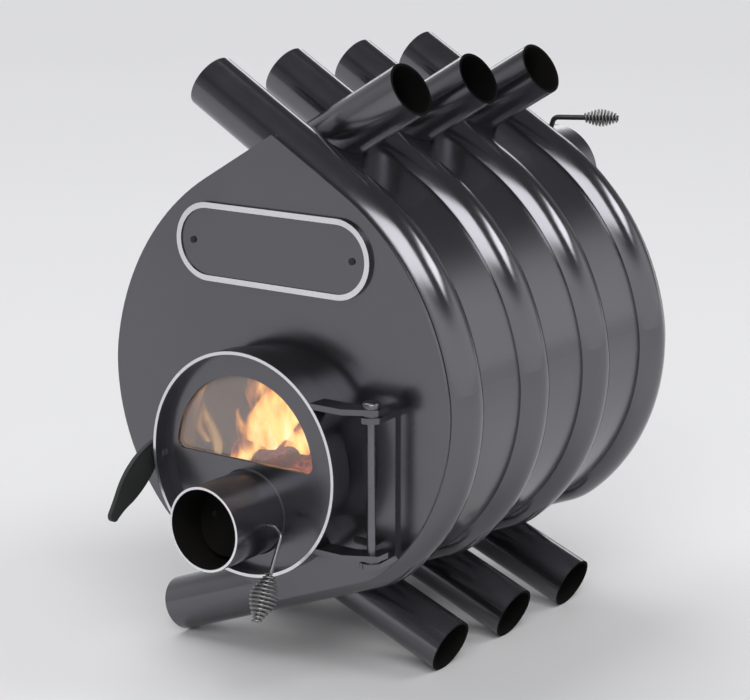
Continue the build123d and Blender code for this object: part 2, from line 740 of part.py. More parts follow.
def make_latch_boss():
    """A short spacer welded to the ring, which the lever turns on."""
    y = latch_y()
    z = latch_z()
    left = -RING_OUTER_R - LATCH_GAP
    boss = rod_between((left, y, z), (-RING_INNER_R, y, z), LATCH_BOSS_R)
    boss -= disc_y(RING_OUTER_R, 0, DOOR_Z, RIM_Y - RING_DEPTH, FRONT_FACE_Y)
    bore = rod_between((left, y, z), (0, y, z), LATCH_BOLT_R + PIN_FIT)
    return solid_of(boss - bore)


def make_latch_bolt():
    y = latch_y()
    z = latch_z()
    head_right = lever_right() - LEVER_THICKNESS - LATCH_PLAY
    tip = -RING_INNER_R - LATCH_BOLT_SHORT
    shank = rod_between((head_right, y, z), (tip, y, z), LATCH_BOLT_R)
    head = rod_between((head_right - LATCH_BOLT_HEAD, y, z), (head_right, y, z), LATCH_BOLT_HEAD_R)
    head = fillet(head.edges().group_by(Axis.X)[0], LATCH_BOLT_DOME)
    return solid_of(shank + head)


def make_latch_lever():
    """A cast lever: a leaf to pull, a hub and an arc-shaped claw behind the fixed stud."""
    edges = [ThreePointArc(*points) for points in LEAF_ARCS]
    edges.append(Line(LEAF_ARCS[-1][-1], LEAF_ARCS[0][0]))
    leaf = make_face(edges)
    inner = STUD_REACH + STUD_R + CLAW_CLEARANCE
    outer = inner + CLAW_WIDTH
    claw = Circle(outer) - Circle(inner)
    span = 2 * outer
    claw -= Rot(0, 0, CLAW_TOP) * Pos(0, span / 2) * Rectangle(2 * span, span)
    claw -= Rot(0, 0, CLAW_BOTTOM) * Pos(0, -span / 2) * Rectangle(2 * span, span)
    reach = inner + CLAW_WIDTH / 2
    arm = Rot(0, 0, CLAW_ARM_TURN) * Pos(reach / 2, 0) * Rectangle(reach, CLAW_ARM_WIDTH)
    outline = leaf + Circle(LEVER_HUB_R) + claw + arm
    outline -= Circle(LATCH_BOLT_R + STRAP_FIT)
    right = lever_right()
    return slab_x(outline, latch_y(), latch_z(), right - LEVER_THICKNESS, right)


def make_latch_keeper():
    """A bracket on the front plate whose stud the claw holds."""
    stud_y = latch_y() + STUD_REACH
    left = lever_right() - LEVER_THICKNESS - KEEPER_GAP - KEEPER_THICKNESS
    depth = FRONT_FACE_Y - stud_y
    profile = Circle(KEEPER_NOSE_R) + Pos(depth / 2, 0) * Rectangle(depth, 2 * KEEPER_HALF_HEIGHT)
    plate = slab_x(profile, stud_y, latch_z(), left, left + KEEPER_THICKNESS)
    stud_right = lever_right() + STUD_SHORT
    stud = rod_between((left, stud_y, latch_z()), (stud_right, stud_y, latch_z()), STUD_R)
    return solid_of(plate + stud)


# Throttles

def bent_rod(points, radius):
    """A round rod with a rounded bend at each inner point."""
    path = FilletPolyline(*points, radius=ROD_BEND_R)
    plane = Plane(origin=path @ 0, z_dir=path % 0)
    return solid_of(sweep(plane * Circle(radius), path=path))


def biarc(start, start_dir, end, end_dir):
    """Two arcs that leave and arrive along the given directions."""
    chord = end - start
    total = start_dir + end_dir
    bend = 2 * (1 - start_dir.dot(end_dir))
    along = chord.dot(total)
    reach = (-along + math.sqrt(along * along + bend * chord.dot(chord))) / bend
    first = start + start_dir * reach
    second = end - end_dir * reach
    middle = (first + second) / 2
    return [
        TangentArc(start, middle, tangent=start_dir),
        TangentArc(middle, end, tangent=second - first),
    ]


def grip_point(turn, turns, length, end_r, middle_r, wire_r):
    """A point of a barrel-shaped coil along Z, at a number of turns from its start."""
    share = turn / turns
    radius = end_r + (middle_r - end_r) * math.sin(math.pi * share) ** GRIP_FULLNESS
    angle = 2 * math.pi * turn
    height = wire_r + (length - 2 * wire_r) * share
    return Vector(radius * math.cos(angle), radius * math.sin(angle), height)


def make_grip(name, rod_r, turns, length, middle_r, wire_r):
    """A coiled wire grip, wound round Z from the origin, as one unbroken wire."""
    end_r = rod_r + GRIP_FIT + wire_r
    sizes = (turns, length, end_r, middle_r, wire_r)
    halves = [half / 2 for half in range(2 * turns + 1)]
    points = [grip_point(turn, *sizes) for turn in halves]
    directions = []
    for turn in halves:
        ahead = grip_point(min(turn + GRIP_SLOPE_STEP, turns), *sizes)
        behind = grip_point(max(turn - GRIP_SLOPE_STEP, 0), *sizes)
        directions.append((ahead - behind).normalized())
    lead = 2 * wire_r
    edges = [Line(points[0] - directions[0] * lead, points[0])]
    for index in range(len(points) - 1):
        edges += biarc(points[index], directions[index], points[index + 1], directions[index + 1])
    edges.append(Line(points[-1], points[-1] + directions[-1] * lead))
    path = Wire(edges)
    plane = Plane(origin=path @ 0, z_dir=path % 0)
    print(name, "least gap between turns", round(coil_gap(edges, turns, wire_r), 2))
    return solid_of(sweep(plane * Circle(wire_r), path=path))


def coil_gap(edges, turns, wire_r):
    """Least distance between the wire's surfaces in neighbouring turns, measured on points."""
    points = [edge @ (i / GAP_SAMPLES) for edge in edges[1:-1] for i in range(GAP_SAMPLES)]
    per_turn = len(points) // turns
    nearest = min(
        (points[i] - points[j]).length
        for i in range(len(points))
        for j in range(i + per_turn // 2, min(i + 2 * per_turn, len(points)))
    )
    return nearest - 2 * wire_r


def stand_along(shape, start, direction):
    """A shape built along Z, moved so that it starts at a point and runs along a direction."""
    return Plane(origin=start, z_dir=direction).location * shape


def make_flap(radius, rod_r, centre, shaft_dir, rest_turn):
    """A round flap on its shaft, turned by its rest angle from closed across the tube."""
    normal = Vector(0, -1, 0).rotate(Axis((0, 0, 0), shaft_dir), rest_turn)
    plane = Plane(origin=centre, x_dir=shaft_dir, z_dir=normal).offset(rod_r + FLAP_SEAT)
    return solid_of(extrude(plane * Circle(radius), FLAP_THICKNESS)), plane


def make_flap_screws(plane):
    """Two screws through the flap into its shaft."""
    screws = []
    for side in (-1, 1):
        base = plane.origin + plane.x_dir * side * FLAP_SCREW_SPREAD
        foot = base - plane.z_dir * FLAP_SCREW_DEPTH
        seat = base + plane.z_dir * FLAP_THICKNESS
        tip = seat + plane.z_dir * FLAP_SCREW_HEAD
        shank = rod_between(foot, seat, FLAP_SCREW_R)
        screws.append(solid_of(shank + rod_between(seat, tip, FLAP_SCREW_HEAD_R)))
    return screws


def drill(shape, screws):
    """A shape with the holes that its screws fill."""
    for screw in screws:
        shape -= screw
    return solid_of(shape)


def air_axis_point(x):
    return Vector(x, AIR_SHAFT_Y, AIR_Z)


def air_handle_direction():
    lean = math.radians(AIR_HANDLE_LEAN)
    return Vector(0, -math.sin(lean), -math.cos(lean))


def make_air_damper():
    """Rod, flap, screws, stop ring and grip of the air throttle."""
    knee = air_axis_point(AIR_OUTER_R + AIR_ROD_KNEE)
    down = air_handle_direction()
    corner = air_axis_point(AIR_OUTER_R + AIR_ROD_OUT) + down * AIR_ROD_DROP
    end = corner + down * AIR_HANDLE_LENGTH
    start = air_axis_point(-AIR_OUTER_R - STOP_RING_GAP - STOP_RING_WIDTH - ROD_STUB)
    rod = bent_rod([start, knee, corner, end], AIR_ROD_R)
    flap, plane = make_flap(
        AIR_BORE_R - AIR_FLAP_CLEARANCE, AIR_ROD_R, air_axis_point(0), Vector(1, 0, 0), -AIR_FLAP_ANGLE
    )
    screws = make_flap_screws(plane)
    ring_right = air_axis_point(-AIR_OUTER_R - STOP_RING_GAP)
    ring_left = air_axis_point(-AIR_OUTER_R - STOP_RING_GAP - STOP_RING_WIDTH)
    ring = rod_between(ring_left, ring_right, AIR_ROD_R + STOP_RING_WALL)
    ring -= rod_between(start, ring_right, AIR_ROD_R)
    grip = make_grip(
        "air grip", AIR_ROD_R, AIR_GRIP_TURNS, AIR_GRIP_LENGTH, AIR_GRIP_R, AIR_WIRE_R
    )
    grip = stand_along(grip, end - down * AIR_GRIP_LENGTH, down)
    return {
        "air_damper_rod": [drill(rod, screws)],
        "air_damper_flap": [drill(flap, screws)],
        "air_damper_screws": screws,
        "air_damper_stop_ring": [solid_of(ring)],
        "air_damper_grip": [grip],
    }


def flue_axis():
    lean = math.radians(FLUE_SHAFT_LEAN)
    return Vector(math.sin(lean), 0, math.cos(lean))


def flue_axis_point(distance):
    return Vector(0, FLUE_SHAFT_Y, FLUE_Z) + flue_axis() * distance


def make_flue_outlet():
    """The spigot, with a thicker root whose shoulder stops the flue pipe."""
    tube = ring_y(FLUE_OUTER_R, FLUE_BORE_R, 0, FLUE_Z, REAR_INNER_Y, FLUE_END_Y)
    tube += ring_y(FLUE_ROOT_R, FLUE_BORE_R, 0, FLUE_Z, REAR_INNER_Y, FLUE_SHOULDER_Y)
    reach = FLUE_ROOT_R + FLUE_WALL
    hole = rod_between(
        flue_axis_point(-reach), flue_axis_point(reach), FLUE_ROD_R + SHAFT_CLEARANCE
    )
    return solid_of(tube - hole)


def make_flue_bushings():
    """Short bushings welded where the throttle's shaft leaves the spigot."""
    bushings = []
    inside = FLUE_BORE_R
    outside = FLUE_ROOT_R + BUSHING_LENGTH
    for side in (-1, 1):
        bush = rod_between(flue_axis_point(side * inside), flue_axis_point(side * outside), BUSHING_R)
        bush -= disc_y(FLUE_ROOT_R, 0, FLUE_Z, REAR_FACE_Y, FLUE_END_Y)
        bore_end = flue_axis_point(side * (outside + BUSHING_LENGTH))
        bush -= rod_between(flue_axis_point(0), bore_end, FLUE_ROD_R + SHAFT_CLEARANCE)
        bushings.append(solid_of(bush))
    return bushings


def make_flue_damper():
    """Rod, flap, screws, stop ring and grip of the flue throttle."""
    outside = FLUE_ROOT_R + BUSHING_LENGTH
    turn = math.radians(FLUE_HANDLE_TURN)
    along = Vector(math.cos(turn), math.sin(turn), 0)
    corner = flue_axis_point(FLUE_OUTER_R + FLUE_ROD_RISE)
    end = corner + along * FLUE_HANDLE_LENGTH
    start = flue_axis_point(-outside - STOP_RING_GAP - STOP_RING_WIDTH - ROD_STUB)
    rod = bent_rod([start, corner, end], FLUE_ROD_R)
    flap, plane = make_flap(
        FLUE_BORE_R - FLUE_FLAP_CLEARANCE, FLUE_ROD_R, flue_axis_point(0), flue_axis(), FLUE_FLAP_ANGLE
    )
    screws = make_flap_screws(plane)
    ring_top = flue_axis_point(-outside - STOP_RING_GAP)
    ring_low = flue_axis_point(-outside - STOP_RING_GAP - STOP_RING_WIDTH)
    ring = rod_between(ring_low, ring_top, FLUE_ROD_R + STOP_RING_WALL)
    ring -= rod_between(start, ring_top, FLUE_ROD_R)
    grip = make_grip(
        "flue grip", FLUE_ROD_R, FLUE_GRIP_TURNS, FLUE_GRIP_LENGTH, FLUE_GRIP_R, FLUE_WIRE_R
    )
    grip = stand_along(grip, end - along * FLUE_GRIP_LENGTH, along)
    return {
        "flue_damper_rod": [drill(rod, screws)],
        "flue_damper_flap": [drill(flap, screws)],
        "flue_damper_screws": screws,
        "flue_damper_stop_ring": [solid_of(ring)],
        "flue_damper_grip": [grip],
    }


# Nameplate

def badge_screw_places():
    """X of the nameplate's two screws."""
    reach = BADGE_LENGTH / 2 - BADGE_SCREW_INSET
    return (-reach, reach)


def make_nameplate():
    """A blank oval-ended plate with a raised rim."""
    back = FRONT_FACE_Y
    front = back - BADGE_THICKNESS
    z = WAIST_Z + BADGE_RISE
    outline = SlotOverall(BADGE_LENGTH, BADGE_HEIGHT)
    rim = outline - SlotOverall(BADGE_LENGTH - 2 * BADGE_RIM, BADGE_HEIGHT - 2 * BADGE_RIM)
    plate = slab_y(outline, 0, z, front, back) + slab_y(rim, 0, z, front - BADGE_RIM_RISE, front)
    for x in badge_screw_places():
        plate -= disc_y(BADGE_SCREW_R + SCREW_FIT, x, z, front, back)
    return solid_of(plate)


def make_nameplate_screws():
    front = FRONT_FACE_Y - BADGE_THICKNESS
    z = WAIST_Z + BADGE_RISE
    screws = []
    for x in badge_screw_places():
        shank = disc_y(BADGE_SCREW_R, x, z, front, FRONT_FACE_Y)
        head = disc_y(BADGE_SCREW_HEAD_R, x, z, front - BADGE_SCREW_HEAD, front)
        screws.append(solid_of(shank + head))
    return screws


# All nodes, each a list of separate solids

def make_nodes():
    nodes = {}
    for index in range(TUBE_COUNT):
        nodes[f"convection_tube_{index + 1}"] = [make_convection_tube(index)]
    for first in range(0, TUBE_COUNT - 1, 2):
        nodes[f"casing_right_{first // 2 + 1}"] = [make_casing(first, first + 2, 1)]
    for first in range(-1, TUBE_COUNT, 2):
        nodes[f"casing_left_{(first + 1) // 2 + 1}"] = [make_casing(first, first + 2, -1)]
    nodes["front_plate"] = [make_end_plate(FRONT_FACE_Y, COLLAR_OUTER_R, DOOR_Z)]
    nodes["rear_plate"] = [make_end_plate(REAR_INNER_Y, FLUE_ROOT_R, FLUE_Z)]
    nodes["door_collar"] = [make_door_collar()]
    nodes["ember_sill"] = [make_ember_sill()]
    nodes["flue_outlet"] = [make_flue_outlet()]
    nodes["flue_bushings"] = make_flue_bushings()
    nodes["baffle_ledges"] = make_baffle_ledges()
    nodes["baffle_plate"] = [make_baffle_plate()]
    nodes["air_injectors"] = make_injectors()
    nodes["nameplate"] = [make_nameplate()]
    nodes["nameplate_screws"] = make_nameplate_screws()
    nodes["hinge_bracket"] = [make_hinge_bracket()]
    nodes["hinge_pin"] = [make_hinge_pin()]
    nodes["hinge_washers"] = make_hinge_washers()
    nodes["latch_keeper"] = [make_latch_keeper()]
    nodes["door_ring"] = [make_door_ring()]
    nodes["door_disc"] = [make_door_disc()]
    nodes["window_glass"] = [make_window_glass()]
    nodes["glass_gasket"] = [make_glass_gasket()]
    nodes["glass_clips"] = make_glass_clips()
    nodes["glass_clip_screws"] = make_glass_clip_screws()
    nodes["rope_seal"] = [make_rope_seal()]
    nodes["rope_guide"] = [make_rope_guide()]
    nodes["air_inlet_tube"] = [make_air_inlet_tube()]
    nodes["air_deflector"] = [make_air_deflector()]
    nodes["hinge_strap_upper"] = [make_hinge_strap(UPPER_LUG_TOP)]
    nodes["hinge_strap_lower"] = [make_hinge_strap(LOWER_LUG_TOP)]
    nodes["latch_boss"] = [make_latch_boss()]
    nodes["latch_bolt"] = [make_latch_bolt()]
    nodes["latch_lever"] = [make_latch_lever()]
    nodes.update(make_air_damper())
    nodes.update(make_flue_damper())
    return nodes


def main():
    os.makedirs("parts", exist_ok=True)
    for name, solids in make_nodes().items():
        shape = solids[0] if len(solids) == 1 else Compound(children=solids)
        export_step(shape, f"parts/{name}.step")
        print(name, len(solids))


main()
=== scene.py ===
import math
import random

import bmesh
import bpy
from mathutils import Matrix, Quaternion, Vector, noise


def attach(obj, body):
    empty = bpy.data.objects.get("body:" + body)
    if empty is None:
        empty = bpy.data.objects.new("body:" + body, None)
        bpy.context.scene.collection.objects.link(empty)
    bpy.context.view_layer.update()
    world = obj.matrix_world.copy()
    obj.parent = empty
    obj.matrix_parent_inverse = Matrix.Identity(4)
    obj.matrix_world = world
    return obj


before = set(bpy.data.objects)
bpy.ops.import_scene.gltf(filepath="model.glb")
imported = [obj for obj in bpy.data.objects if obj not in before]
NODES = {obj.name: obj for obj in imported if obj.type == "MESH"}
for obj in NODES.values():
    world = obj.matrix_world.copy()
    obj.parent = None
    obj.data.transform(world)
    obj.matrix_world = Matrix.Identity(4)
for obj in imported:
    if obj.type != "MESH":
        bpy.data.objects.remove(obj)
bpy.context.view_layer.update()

# Places on the stove, in metres and in the part's own frame
TUBE_COUNT = 7
TUBE_PITCH = 0.0628
FIRST_TUBE_Y = -0.186
DOOR_RIM_Y = -0.277
AIR_RIM_Y = -0.3381
AIR_CENTRE_Z = 0.18456
AIR_BEAD_R = 0.0452
BADGE_FRONT_Y = -0.2247
STOVE_MIDDLE_Z = 0.32
FIREBOX_LOW = 0.13
FIREBOX_HIGH = 0.5

# How faces are told apart: how far behind a rim's front they may lie, the least cosine of the
# angle between their normal and a direction, and what the product of their radius and their
# normal stays under inside the air inlet's bore
RIM_DEPTH = 0.0006
FIRE_COSINE = 0.25
SIDE_COSINE = 0.5
FRONT_COSINE = 0.9
BORE_LIMIT = -0.02


# Materials

EVEN = (1, 1, 1)
NOISE_LOW = 0.3
NOISE_HIGH = 0.7

METALS = {
    "tube_paint": dict(
        dark=(0.145, 0.143, 0.155), light=(0.155, 0.153, 0.166),
        metallic=0.95, rough=(0.17, 0.2), grain=900.0, relief=0.004,
    ),
    "plate_paint": dict(
        dark=(0.138, 0.136, 0.149), light=(0.148, 0.146, 0.16),
        metallic=0.92, rough=(0.2, 0.24), grain=1100.0, relief=0.005,
    ),
    "bare_rim": dict(
        dark=(0.76, 0.755, 0.785), light=(0.86, 0.855, 0.885),
        metallic=1.0, rough=(0.26, 0.34), grain=700.0, relief=0.04, stretch=(1, 1, 6),
    ),
    # Soot on the firebox and flue parts; the same black is also painted shade in the bores of
    # the tubes and on the air damper flap
    "soot": dict(
        dark=(0.004, 0.004, 0.004), light=(0.013, 0.012, 0.011),
        metallic=0.0, rough=(0.82, 0.95), grain=260.0, relief=0.5, specular=0.02,
    ),
    "bright_steel": dict(
        dark=(0.42, 0.42, 0.42), light=(0.6, 0.6, 0.59),
        metallic=1.0, rough=(0.24, 0.36), grain=500.0, relief=0.05,
    ),
    "dull_steel": dict(
        dark=(0.15, 0.147, 0.158), light=(0.215, 0.211, 0.225),
        metallic=1.0, rough=(0.24, 0.34), grain=600.0, relief=0.02,
    ),
    "wire": dict(
        dark=(0.16, 0.16, 0.16), light=(0.24, 0.24, 0.235),
        metallic=1.0, rough=(0.26, 0.36), grain=800.0, relief=0.02,
    ),
    "black_rod": dict(
        dark=(0.022, 0.022, 0.024), light=(0.04, 0.04, 0.042),
        metallic=0.6, rough=(0.34, 0.46), grain=900.0, relief=0.06,
    ),
    "cast_black": dict(
        dark=(0.016, 0.019, 0.018), light=(0.028, 0.031, 0.03),
        metallic=0.1, rough=(0.55, 0.7), grain=420.0, relief=0.35,
    ),
    "fibre": dict(
        dark=(0.2, 0.19, 0.17), light=(0.36, 0.34, 0.3),
        metallic=0.0, rough=(0.9, 1.0), grain=600.0, relief=0.9,
    ),
}


def new_material(name):
    """A node material, its shader and its node tree."""
    material = bpy.data.materials.new(name)
    material.use_nodes = True
    tree = material.node_tree
    return material, tree.nodes["Principled BSDF"], tree


def set_inputs(node, values):
    """Constants for some of a node's inputs."""
    for key, value in values.items():
        node.inputs[key].default_value = value


def object_place(tree):
    """Coordinates that stay with the object."""
    return tree.nodes.new("ShaderNodeTexCoord").outputs["Object"]


def noise_value(tree, scale, detail, stretch=EVEN, distortion=0.0):
    """Noise over the object's own coordinates."""
    mapping = tree.nodes.new("ShaderNodeMapping")
    set_inputs(mapping, {"Scale": stretch})
    tree.links.new(object_place(tree), mapping.inputs["Vector"])
    texture = tree.nodes.new("ShaderNodeTexNoise")
    set_inputs(texture, {"Scale": scale, "Detail": detail, "Distortion": distortion})
    tree.links.new(mapping.outputs["Vector"], texture.inputs["Vector"])
    return texture.outputs["Fac"]


def calculate(tree, operation, *operands):
    """The result of a Math node over constants and other nodes' outputs."""
    node = tree.nodes.new("ShaderNodeMath")
    node.operation = operation
    for socket, operand in zip(node.inputs, operands):
        if isinstance(operand, bpy.types.NodeSocket):
            tree.links.new(operand, socket)
        else:
            socket.default_value = operand
    return node.outputs["Value"]


def separate(tree, vector):
    """The node whose outputs X, Y and Z are a vector's parts."""
    node = tree.nodes.new("ShaderNodeSeparateXYZ")
    tree.links.new(vector, node.inputs["Vector"])
    return node


def ramp(tree, value, stops):
    """A colour ramp over a value."""
    node = tree.nodes.new("ShaderNodeValToRGB")
    elements = node.color_ramp.elements
    elements[0].position = stops[0][0]
    elements[0].color = (*stops[0][1], 1)
    elements[1].position = stops[-1][0]
    elements[1].color = (*stops[-1][1], 1)
    for position, colour in stops[1:-1]:
        elements.new(position).color = (*colour, 1)
    tree.links.new(value, node.inputs["Fac"])
    return node.outputs["Color"]


def map_range(tree, value, source, target):
    """A value carried from one range to another."""
    node = tree.nodes.new("ShaderNodeMapRange")
    set_inputs(node, {
        "From Min": source[0], "From Max": source[1], "To Min": target[0], "To Max": target[1],
    })
    tree.links.new(value, node.inputs["Value"])
    return node.outputs["Result"]


def spread(tree, value, target):
    """A value carried from the noise's middle range to a chosen range."""
    return map_range(tree, value, (NOISE_LOW, NOISE_HIGH), target)


def bump(tree, shader, value, strength, distance, normal=None):
    """Relief from a value, over earlier relief if there is any."""
    node = tree.nodes.new("ShaderNodeBump")
    set_inputs(node, {"Strength": strength, "Distance": distance})
    tree.links.new(value, node.inputs["Height"])
    if normal is not None:
        tree.links.new(normal, node.inputs["Normal"])
    tree.links.new(node.outputs["Normal"], shader.inputs["Normal"])
    return node.outputs["Normal"]


def make_metal(name, dark, light, metallic, rough, grain, relief, stretch=EVEN, specular=0.5):
    """Metal, paint or a dull solid with slow colour changes, varied gloss and a fine grain."""
    material, shader, tree = new_material(name)
    set_inputs(shader, {"Metallic": metallic, "Specular IOR Level": specular})
    slow = noise_value(tree, scale=7.0, detail=4.0)
    tone = ramp(tree, slow, [(NOISE_LOW, dark), (NOISE_HIGH, light)])
    tree.links.new(tone, shader.inputs["Base Color"])
    patchy = noise_value(tree, scale=38.0, detail=5.0, stretch=stretch)
    tree.links.new(spread(tree, patchy, rough), shader.inputs["Roughness"])
    waves = noise_value(tree, scale=14.0, detail=2.0)
    broad = bump(tree, shader, waves, relief, distance=0.002)
    fine = noise_value(tree, scale=grain, detail=3.0, stretch=stretch)
    bump(tree, shader, fine, relief, distance=0.0004, normal=broad)
    return material


def make_glass():
    """Heat-proof glass with a warm tint and a light haze."""
    material, shader, tree = new_material("stove_glass")
    set_inputs(shader, {"Transmission Weight": 0.8, "IOR": 1.5})
    haze = noise_value(tree, scale=16.0, detail=3.0)
    tint = ramp(tree, haze, [(NOISE_LOW, (0.8, 0.69, 0.66)), (NOISE_HIGH, (0.9, 0.79, 0.75))])
    tree.links.new(tint, shader.inputs["Base Color"])
    smears = noise_value(tree, scale=60.0, detail=4.0)
    tree.links.new(spread(tree, smears, (0.02, 0.08)), shader.inputs["Roughness"])
    return material


MATERIALS = {name: make_metal(name, **values) for name, values in METALS.items()}
MATERIALS["stove_glass"] = make_glass()


# Which materials each node has

TUBES = [f"convection_tube_{number}" for number in range(1, TUBE_COUNT + 1)]
CASINGS = [node for node in NODES if node.startswith("casing")]

# The first material covers a node, and faces that are marked take the others
FINISHES = {
    ("tube_paint", "soot"): (*TUBES, *CASINGS),
    ("plate_paint", "soot"): ("front_plate", "rear_plate"),
    ("plate_paint",): (
        "flue_outlet", "flue_bushings", "hinge_bracket", "latch_keeper", "door_collar",
        "door_disc", "latch_boss", "hinge_strap_upper", "hinge_strap_lower",
    ),
    ("plate_paint", "bare_rim"): ("door_ring", "nameplate"),
    ("plate_paint", "bare_rim", "soot", "black_rod"): ("air_inlet_tube",),
    # Soot on the parts in the firebox and the flue; on the air damper flap inside the air inlet
    # tube this black is painted shade
    ("soot",): (
        "ember_sill", "baffle_ledges", "baffle_plate", "air_injectors", "air_deflector",
        "rope_guide", "air_damper_flap", "flue_damper_flap",
    ),
    ("dull_steel",): ("hinge_pin", "hinge_washers", "air_damper_rod"),
    ("bright_steel",): ("latch_bolt", "glass_clips", "glass_clip_screws"),
    ("black_rod",): (
        "nameplate_screws", "air_damper_screws", "flue_damper_screws", "flue_damper_rod",
        "air_damper_stop_ring", "flue_damper_stop_ring",
    ),
    ("wire",): ("air_damper_grip", "flue_damper_grip"),
    ("cast_black",): ("latch_lever",),
    ("fibre",): ("rope_seal", "glass_gasket"),
    ("stove_glass",): ("window_glass",),
}


def assign(node, materials):
    """Puts materials on a node, in place of the one that it came with."""
    slots = NODES[node].data.materials
    slots.clear()
    for material in materials:
        slots.append(MATERIALS[material])


def mark(mesh, faces, material):
    """Gives one of a mesh's materials to some of its faces."""
    index = list(mesh.materials).index(MATERIALS[material])
    for face in faces:
        face.material_index = index


def mark_faces(node, material, test):
    """Gives one of a node's materials to the faces whose centre and normal pass a test."""
    mesh = NODES[node].data
    mark(mesh, [face for face in mesh.polygons if test(face.center, face.normal)], material)


def islands(mesh):
    """Groups of faces that share vertices, each as a list of faces."""
    parent = list(range(len(mesh.vertices)))

    def root(item):
        while parent[item] != item:
            parent[item] = parent[parent[item]]
            item = parent[item]
        return item

    for face in mesh.polygons:
        first = root(face.vertices[0])
        for vertex in face.vertices[1:]:
            parent[root(vertex)] = first
    groups = {}
    for face in mesh.polygons:
        groups.setdefault(root(face.vertices[0]), []).append(face)
    return list(groups.values())


def paint_bore_shade(node, middle_y):
    """Painted shade in a bent tube: black on the faces that point at the plane that the tube
    bends in, which make its bore.
    """
    mesh = NODES[node].data
    for group in islands(mesh):
        outward = sum(face.area * face.normal.y * (face.center.y - middle_y) for face in group)
        if outward < 0:
            mark(mesh, group, "soot")


def faces_fire(centre, normal):
    """Whether a face of a tube or a casing sheet looks into the firebox."""
    inward = Vector((-centre.x, 0, STOVE_MIDDLE_Z - centre.z)).normalized()
    return FIREBOX_LOW < centre.z < FIREBOX_HIGH and normal.dot(inward) > FIRE_COSINE


def in_air_bore(centre, normal):
    """Whether a face of the air inlet tube looks at the tube's axis."""
    return centre.x * normal.x + (centre.z - AIR_CENTRE_Z) * normal.z < BORE_LIMIT


def on_air_bead(centre, normal):
    """Whether a face of the air inlet tube is part of the weld bead at its root."""
    return math.hypot(centre.x, centre.z - AIR_CENTRE_Z) > AIR_BEAD_R


def on_badge_rim(centre, normal):
    """Whether a face of the nameplate is the front of its raised rim."""
    return centre.y < BADGE_FRONT_Y + RIM_DEPTH and normal.y < -FRONT_COSINE


def dress_nodes():
    """Materials for every node of the part, with its bare rims, its sooted sides and painted
    shade in the bores of its tubes.
    """
    for materials, nodes in FINISHES.items():
        for node in nodes:
            assign(node, materials)
    for node in (*TUBES, *CASINGS):
        mark_faces(node, "soot", faces_fire)
    # Painted shade: the bores of the convection tubes are made black, as they lie in shade
    for index, node in enumerate(TUBES):
        paint_bore_shade(node, FIRST_TUBE_Y + index * TUBE_PITCH)
    mark_faces("front_plate", "soot", lambda centre, normal: normal.y > SIDE_COSINE)
    mark_faces("rear_plate", "soot", lambda centre, normal: normal.y < -SIDE_COSINE)
    mark_faces("door_ring", "bare_rim", lambda centre, normal: centre.y < DOOR_RIM_Y + RIM_DEPTH)
    mark_faces("nameplate", "bare_rim", on_badge_rim)
    # The bore and the bead come after the rim, as each takes faces from the one before
    mark_faces(
        "air_inlet_tube", "bare_rim", lambda centre, normal: centre.y < AIR_RIM_Y + RIM_DEPTH
    )
    # Painted shade: the bore of the air inlet tube is made black, as it lies in shade
    mark_faces("air_inlet_tube", "soot", in_air_bore)
    mark_faces("air_inlet_tube", "black_rod", on_air_bead)


dress_nodes()


# Fire

# Each flame's foot, its height, its width and its turn about the vertical
FLAMES = (
    ((-0.05, -0.175, 0.2), 0.15, 0.045, 0.3),
    ((-0.022, -0.165, 0.205), 0.13, 0.05, -0.2),
    ((0.0, -0.175, 0.195), 0.1, 0.04, 0.15),
    ((-0.072, -0.18, 0.2), 0.075, 0.05, 0.5),
    ((-0.055, -0.13, 0.215), 0.15, 0.06, 0.1),
    ((-0.015, -0.12, 0.22), 0.14, 0.06, -0.35),
    ((-0.09, -0.1, 0.21), 0.13, 0.055, 0.6),
    ((0.03, -0.13, 0.21), 0.12, 0.05, -0.1),
    ((-0.035, -0.085, 0.22), 0.16, 0.07, 0.4),
    ((-0.07, -0.15, 0.205), 0.11, 0.045, 0.2),
)
FLAME_LEAN = (0.012, 0.01)
FLAME_LEAN_STEP = 2.3
FLAME_PHASE_STEP = 1.7

# Each wisp's foot, its height, width, turn and lean, and the phase of its sway
WISPS = {
    "wisp_1": ((-0.104, -0.194, 0.21), 0.085, 0.016, 0.5, (-0.018, 0.0), 0.4),
    "wisp_2": ((-0.12, -0.19, 0.225), 0.045, 0.014, 0.5, (-0.014, 0.0), 2.1),
}

# A flame's outline, as shares of its width: its root, how fast it swells, the power that
# tapers it and its fullness. Then how it sways from side to side, cups and folds
FLAME_ROWS = 28
FLAME_COLUMNS = 10
FLAME_ROOT = 0.35
FLAME_SWELL = 1.2
FLAME_TAPER = 0.75
FLAME_FULLNESS = 1.5
FLAME_SWAY = 0.25
FLAME_WAVES = 2.2
FLAME_CUP = 0.3
FLAME_FOLD = 0.12

# A flame's streaks, how it fades to its sides and its tip, and its colours from root to tip
FLAME_STREAKS = 1.5
FLAME_SIDES = 0.55
FLAME_FADE = (1.15, 1.75)
FLAME_COLOUR_SCALE = 0.52
FLAME_COLOURS = (
    (0.42, (1.0, 0.88, 0.5)),
    (0.62, (1.0, 0.7, 0.2)),
    (0.8, (1.0, 0.42, 0.07)),
    (1.0, (0.85, 0.17, 0.03)),
)

